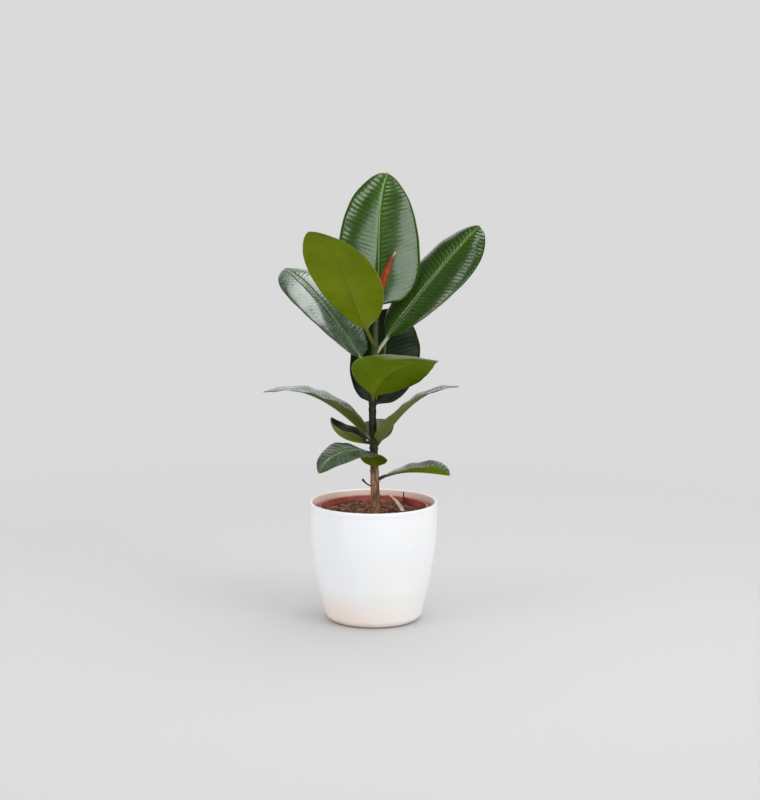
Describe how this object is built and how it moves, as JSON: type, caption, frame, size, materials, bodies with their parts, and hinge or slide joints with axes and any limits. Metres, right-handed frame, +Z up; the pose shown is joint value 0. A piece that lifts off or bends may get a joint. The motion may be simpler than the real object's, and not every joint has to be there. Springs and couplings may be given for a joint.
{
  "type": "potted rubber plant",
  "caption": "Young rubber plant on one upright stem with broad oval leaves and a red bud sheath, in a thin nursery pot inside a white tapered cachepot.",
  "frame": {"origin": "centre of the cachepot's flat base, on the surface it stands on", "axes": "+Z up along the stem, +X to the right seen from the front, +Y away from the viewer"},
  "size_m": [0.2594, 0.1648, 0.5214],
  "materials": {
    "white_glaze": "smooth white with a soft shine",
    "red_brown_plastic": "thin matt moulded plastic",
    "potting_soil": "crumbly brown potting mix",
    "bark": "ringed bark, corky low down and dark green higher up",
    "leaf": "thick waxy leaf, glossy dark green above and olive green below",
    "sheath": "satin orange red",
    "dry_husk": "papery and dry"
  },
  "bodies": {
    "root": {"cachepot": "white_glaze", "nursery_pot": "red_brown_plastic", "soil": "potting_soil", "stem": "bark", "leaf_top": "leaf", "leaf_upper_front": "leaf", "leaf_upper_left": "leaf", "leaf_upper_right": "leaf", "leaf_back": "leaf", "leaf_front": "leaf", "leaf_left_long": "leaf", "leaf_right_long": "leaf", "leaf_left_small": "leaf", "leaf_low_front": "leaf", "leaf_low_right": "leaf", "leaf_small_back": "leaf", "bud_sheath": "sheath", "twig_stub": "bark", "dry_strip": "dry_husk", "soil_stick": "bark"}
  },
  "joints": []
}
